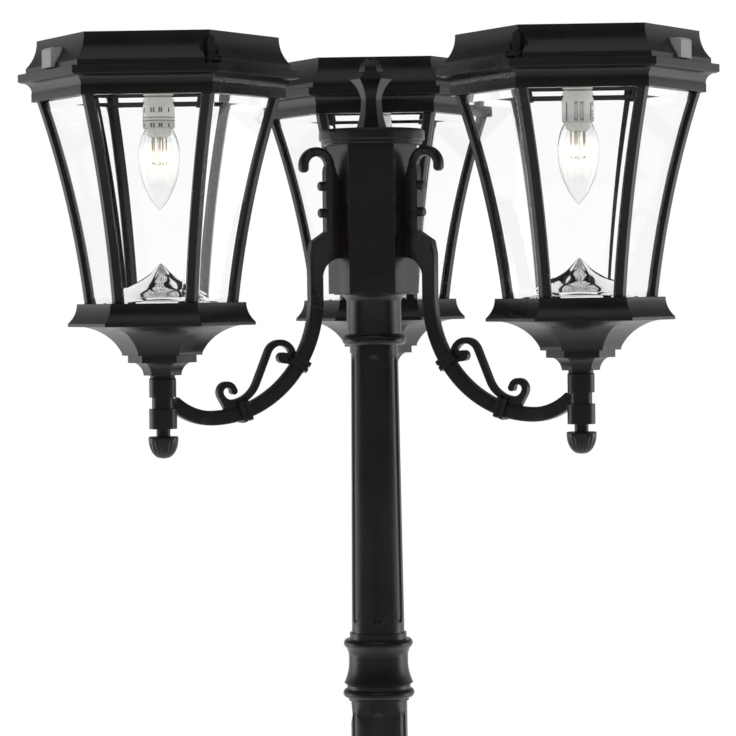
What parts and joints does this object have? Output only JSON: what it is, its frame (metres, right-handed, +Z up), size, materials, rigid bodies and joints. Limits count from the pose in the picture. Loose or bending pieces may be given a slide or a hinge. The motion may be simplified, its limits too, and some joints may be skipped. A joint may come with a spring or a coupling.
{
  "type": "triple head lamp post",
  "caption": "Garden lamp post with six-sided glazed lanterns on curled J-shaped arms round a fluted pole, solar panels in their roofs and a flared base",
  "frame": {"origin": "centre of the base casting's underside, where it rests on the ground", "axes": "+Z up along the pole's axis; -Y is the front; the arms point 210 (left), 330 (right) and 90 (rear) degrees round from +X"},
  "size_m": [0.661, 0.5724, 2.2],
  "materials": {
    "powder_coat": "satin",
    "inner_tube": "satin",
    "zinc_steel": "satin",
    "black_steel": "satin",
    "bright_reflector": "polished",
    "clear_glass": "polished",
    "solar_glass": "gloss",
    "frosted_plastic": "satin",
    "bright_cover": "satin",
    "pack_plastic": "matte",
    "bulb_glass": "polished"
  },
  "bodies": {
    "root": {"base_casting": "powder_coat", "lower_pole": "powder_coat", "middle_pole": "powder_coat", "upper_pole": "powder_coat", "lower_collar": "powder_coat", "upper_collar": "powder_coat", "hub_body": "powder_coat", "hub_cap": "powder_coat", "finial": "powder_coat", "left_arm": "powder_coat", "right_arm": "powder_coat", "rear_arm": "powder_coat", "scrolls": "powder_coat", "support_sleeves": "powder_coat", "acorn_nuts": "powder_coat", "pole_couplers": "inner_tube", "finial_stud": "zinc_steel", "lamp_studs": "zinc_steel", "latch_pins": "zinc_steel", "arm_bolts": "black_steel", "reflectors": "bright_reflector", "left_base_pan": "powder_coat", "left_mullions": "powder_coat", "left_crown_band": "powder_coat", "left_glass_panes": "clear_glass", "right_base_pan": "powder_coat", "right_mullions": "powder_coat", "right_crown_band": "powder_coat", "right_glass_panes": "clear_glass", "rear_base_pan": "powder_coat", "rear_mullions": "powder_coat", "rear_crown_band": "powder_coat", "rear_glass_panes": "clear_glass"},
    "left_lid_body": {"left_lid": "powder_coat", "left_solar_panel": "solar_glass", "left_sensor_window": "frosted_plastic", "left_inner_cover": "bright_cover", "left_power_pack": "pack_plastic", "left_bulb_holder": "frosted_plastic"},
    "left_bulb_body": {"left_bulb": "bulb_glass"},
    "left_latch_a_body": {"left_latch_a": "powder_coat"},
    "left_latch_b_body": {"left_latch_b": "powder_coat"},
    "right_lid_body": {"right_lid": "powder_coat", "right_solar_panel": "solar_glass", "right_sensor_window": "frosted_plastic", "right_inner_cover": "bright_cover", "right_power_pack": "pack_plastic", "right_bulb_holder": "frosted_plastic"},
    "right_bulb_body": {"right_bulb": "bulb_glass"},
    "right_latch_a_body": {"right_latch_a": "powder_coat"},
    "right_latch_b_body": {"right_latch_b": "powder_coat"},
    "rear_lid_body": {"rear_lid": "powder_coat", "rear_solar_panel": "solar_glass", "rear_sensor_window": "frosted_plastic", "rear_inner_cover": "bright_cover", "rear_power_pack": "pack_plastic", "rear_bulb_holder": "frosted_plastic"},
    "rear_bulb_body": {"rear_bulb": "bulb_glass"},
    "rear_latch_a_body": {"rear_latch_a": "powder_coat"},
    "rear_latch_b_body": {"rear_latch_b": "powder_coat"}
  },
  "joints": [
    {"name": "left_lid_lift", "type": "slide", "parent": "root", "child": "left_lid_body", "axis": [0, 0, 1], "range_m": [0, 0.16]},
    {"name": "left_bulb_turn", "type": "hinge", "parent": "left_lid_body", "child": "left_bulb_body", "pos_m": [-0.19745, -0.114, 2.08], "axis": [0, 0, 1], "range_deg": [0, 1080]},
    {"name": "left_latch_a_swing", "type": "hinge", "parent": "root", "child": "left_latch_a_body", "pos_m": [-0.13545, -0.22139, 2.1731], "axis": [0.866, 0.5, 0], "range_deg": [0, 110]},
    {"name": "left_latch_b_swing", "type": "hinge", "parent": "root", "child": "left_latch_b_body", "pos_m": [-0.25945, -0.00661, 2.1731], "axis": [-0.866, -0.5, 0], "range_deg": [0, 110]},
    {"name": "right_lid_lift", "type": "slide", "parent": "root", "child": "right_lid_body", "axis": [0, 0, 1], "range_m": [0, 0.16]},
    {"name": "right_bulb_turn", "type": "hinge", "parent": "right_lid_body", "child": "right_bulb_body", "pos_m": [0.19745, -0.114, 2.08], "axis": [0, 0, 1], "range_deg": [0, 1080]},
    {"name": "right_latch_a_swing", "type": "hinge", "parent": "root", "child": "right_latch_a_body", "pos_m": [0.25945, -0.00661, 2.1731], "axis": [-0.866, 0.5, 0], "range_deg": [0, 110]},
    {"name": "right_latch_b_swing", "type": "hinge", "parent": "root", "child": "right_latch_b_body", "pos_m": [0.13545, -0.22139, 2.1731], "axis": [0.866, -0.5, 0], "range_deg": [0, 110]},
    {"name": "rear_lid_lift", "type": "slide", "parent": "root", "child": "rear_lid_body", "axis": [0, 0, 1], "range_m": [0, 0.16]},
    {"name": "rear_bulb_turn", "type": "hinge", "parent": "rear_lid_body", "child": "rear_bulb_body", "pos_m": [0, 0.228, 2.08], "axis": [0, 0, 1], "range_deg": [0, 1080]},
    {"name": "rear_latch_a_swing", "type": "hinge", "parent": "root", "child": "rear_latch_a_body", "pos_m": [-0.124, 0.228, 2.1731], "axis": [0, -1, 0], "range_deg": [0, 110]},
    {"name": "rear_latch_b_swing", "type": "hinge", "parent": "root", "child": "rear_latch_b_body", "pos_m": [0.124, 0.228, 2.1731], "axis": [0, 1, 0], "range_deg": [0, 110]}
  ]
}
